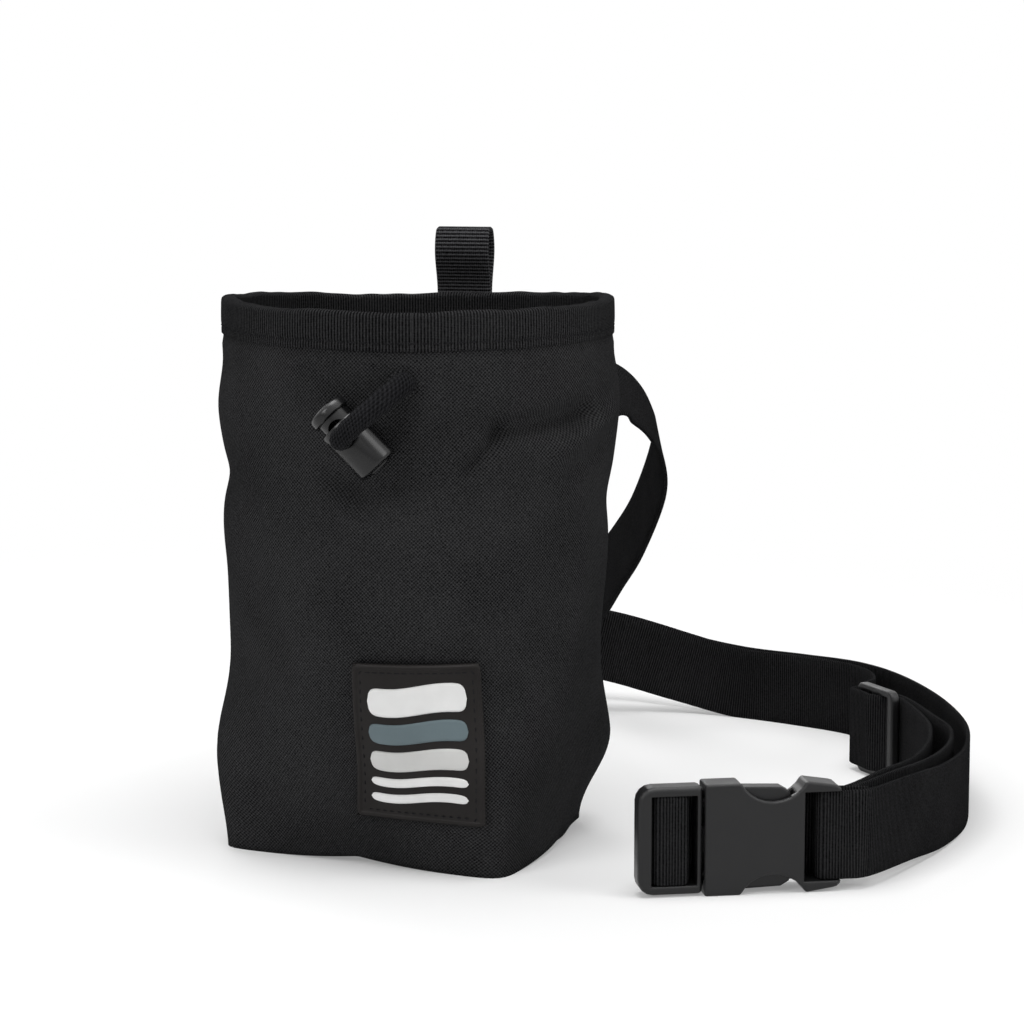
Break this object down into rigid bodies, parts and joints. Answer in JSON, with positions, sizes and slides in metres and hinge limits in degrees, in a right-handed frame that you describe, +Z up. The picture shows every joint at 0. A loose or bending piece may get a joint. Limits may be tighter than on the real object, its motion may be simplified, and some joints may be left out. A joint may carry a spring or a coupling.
{
  "type": "climbing chalk bag",
  "caption": "Cylindrical fabric chalk bag with a bound stiff rim, drawcord with a barrel cord lock, hang loop, sewn label and a webbing waist belt with a side-release buckle.",
  "frame": {"origin": "on the floor under the middle of the bag's base", "axes": "+Z up through the mouth, label towards -Y, belt lying towards +X"},
  "size_m": [0.2345, 0.2848, 0.1845],
  "materials": {
    "cordura": "plain-woven black nylon",
    "fleece": "black pile fleece",
    "grosgrain": "ribbed black tape",
    "hoop_plastic": "plain",
    "label_rubber": "moulded dark grey",
    "label_inlay": "moulded light grey",
    "webbing": "ribbed black webbing",
    "loop_webbing": "ribbed black webbing",
    "eyelet_plastic": "black",
    "cord": "fuzzy black braid",
    "lock_plastic": "satin black",
    "plunger_plastic": "satin black",
    "spring_steel": "bright wire",
    "buckle_plastic": "satin black",
    "plug_plastic": "satin black",
    "prong_plastic": "satin black",
    "slider_plastic": "satin black",
    "belt_webbing": "ribbed black webbing"
  },
  "bodies": {
    "bag": {"outer_shell": "cordura", "fleece_lining": "fleece", "rim_binding": "grosgrain", "rim_hoop": "hoop_plastic", "label_patch": "label_rubber", "label_emblem": "label_inlay", "belt_tunnel": "webbing", "hang_loop": "loop_webbing", "cord_eyelet": "eyelet_plastic", "drawcord": "cord", "cord_lock_barrel": "lock_plastic", "cord_lock_spring": "spring_steel", "buckle_socket": "buckle_plastic", "buckle_plug": "plug_plastic", "belt_slider": "slider_plastic", "belt_buckle_side": "belt_webbing", "belt_adjuster_side": "belt_webbing"},
    "lock_plunger": {"cord_lock_plunger": "plunger_plastic"},
    "upper_prong": {"prong_upper": "prong_plastic"},
    "lower_prong": {"prong_lower": "prong_plastic"}
  },
  "joints": [
    {"name": "plunger_press", "type": "slide", "parent": "bag", "child": "lock_plunger", "axis": [0.689, -0.1591, -0.7071], "range_m": [0, 0.0026], "stiffness_N_per_m": 900, "deforming": ["cord_lock_spring"]},
    {"name": "upper_prong_squeeze", "type": "hinge", "parent": "bag", "child": "upper_prong", "pos_m": [0.08368, -0.07081, 0.0263], "axis": [-0.1564, 0.9877, 0], "range_deg": [0, 8], "stiffness_Nm_per_rad": 0.2},
    {"name": "lower_prong_squeeze", "type": "hinge", "parent": "bag", "child": "lower_prong", "pos_m": [0.08368, -0.07081, 0.0062], "axis": [0.1564, -0.9877, 0], "range_deg": [0, 8], "stiffness_Nm_per_rad": 0.2}
  ]
}
